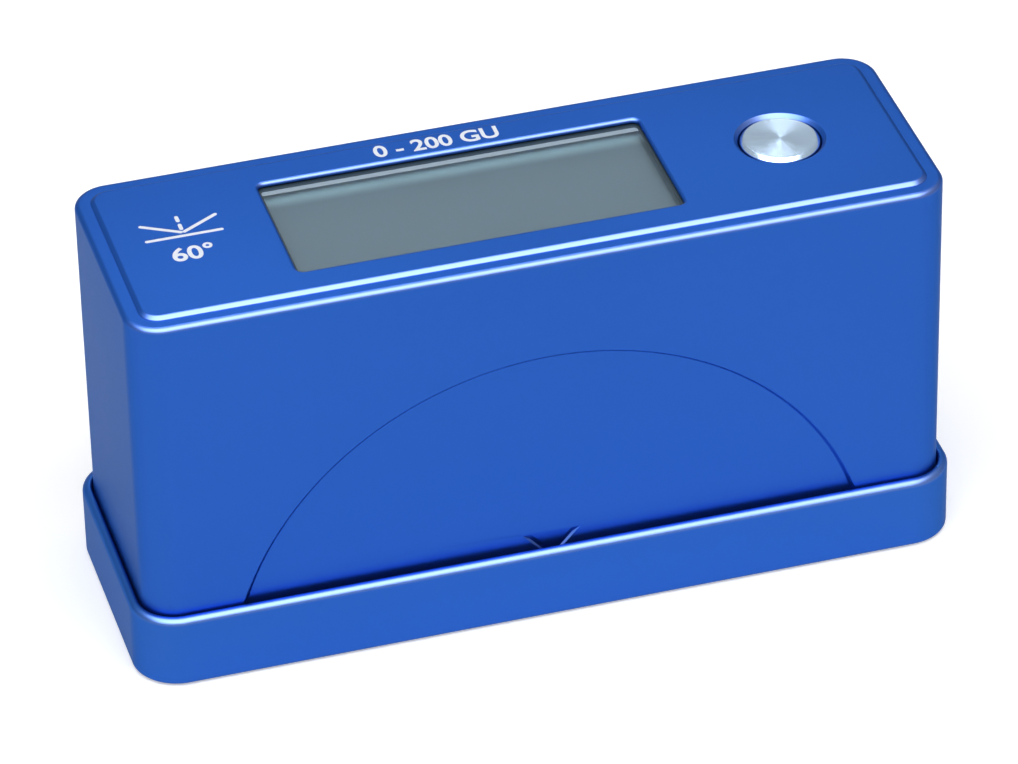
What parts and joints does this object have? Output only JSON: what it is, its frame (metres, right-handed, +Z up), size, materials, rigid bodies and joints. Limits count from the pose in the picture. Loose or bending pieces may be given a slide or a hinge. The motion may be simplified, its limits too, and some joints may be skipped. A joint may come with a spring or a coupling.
{
  "type": "gloss meter",
  "caption": "Handheld gloss meter with a display window and a push button, standing in a calibration base that holds a black glass tile under its measuring aperture.",
  "frame": {"origin": "on the surface the base stands on, under the middle of the base's outline", "axes": "+X along the length, towards the push button; +Y from the front face to the back; +Z up"},
  "size_m": [0.1182, 0.0402, 0.0589],
  "materials": {
    "tray_anodised": "bead-blasted, blue anodised",
    "black_glass": "polished black glass",
    "tile_foam": "soft foam",
    "foot_rubber": "matt rubber",
    "blue_anodised": "bead-blasted, blue anodised",
    "plate_anodised": "black anodised",
    "door_plastic": "moulded, fine texture",
    "screw_steel": "plain steel",
    "lens_acrylic": "clear, polished",
    "lcd_glass": "blank grey-green panel",
    "backlight_acrylic": "frosted",
    "display_frame_plastic": "moulded",
    "board_laminate": "solder mask",
    "chip_resin": "moulded resin",
    "switch_plastic": "moulded",
    "plunger_plastic": "moulded",
    "turned_aluminium": "fine turned face",
    "optics_black_anodised": "matt black anodised",
    "optical_glass": "polished",
    "stop_black": "matt black",
    "emitter_epoxy": "clear resin",
    "sensor_ceramic": "glazed",
    "cell_jacket": "printed sleeve, left plain",
    "contact_block_plastic": "moulded",
    "contact_nickel": "nickel plated"
  },
  "bodies": {
    "base": {"base_tray": "tray_anodised", "calibration_tile": "black_glass", "tile_cushion": "tile_foam", "base_foot_1": "foot_rubber", "base_foot_2": "foot_rubber", "base_foot_3": "foot_rubber", "base_foot_4": "foot_rubber"},
    "meter": {"body_shell": "blue_anodised", "bottom_plate": "plate_anodised", "battery_door": "door_plastic", "bottom_screw_1": "screw_steel", "bottom_screw_2": "screw_steel", "bottom_screw_3": "screw_steel", "bottom_screw_4": "screw_steel", "block_screw_1": "screw_steel", "block_screw_2": "screw_steel", "display_lens": "lens_acrylic", "lcd_panel": "lcd_glass", "lcd_backlight": "backlight_acrylic", "display_frame": "display_frame_plastic", "display_board": "board_laminate", "board_screw_1": "screw_steel", "board_screw_2": "screw_steel", "board_screw_3": "screw_steel", "board_screw_4": "screw_steel", "processor_chip": "chip_resin", "switch_body": "switch_plastic", "optics_block": "optics_black_anodised", "source_lens": "optical_glass", "source_stop": "stop_black", "source_lamp": "emitter_epoxy", "source_board": "board_laminate", "receiver_lens": "optical_glass", "receiver_stop": "stop_black", "receiver_sensor": "sensor_ceramic", "receiver_board": "board_laminate", "battery_cell": "cell_jacket", "contact_block_front": "contact_block_plastic", "contact_block_rear": "contact_block_plastic", "contact_plate": "contact_nickel", "contact_spring": "contact_nickel"},
    "button": {"button_cap": "turned_aluminium", "switch_plunger": "plunger_plastic"}
  },
  "joints": [
    {"name": "meter_lift", "type": "slide", "parent": "base", "child": "meter", "axis": [0, 0, 1], "range_m": [0, 0.03]},
    {"name": "button_press", "type": "slide", "parent": "meter", "child": "button", "axis": [0, 0, -1], "range_m": [0, 0.0004], "stiffness_N_per_m": 2500, "springref_m": -0.0003}
  ]
}
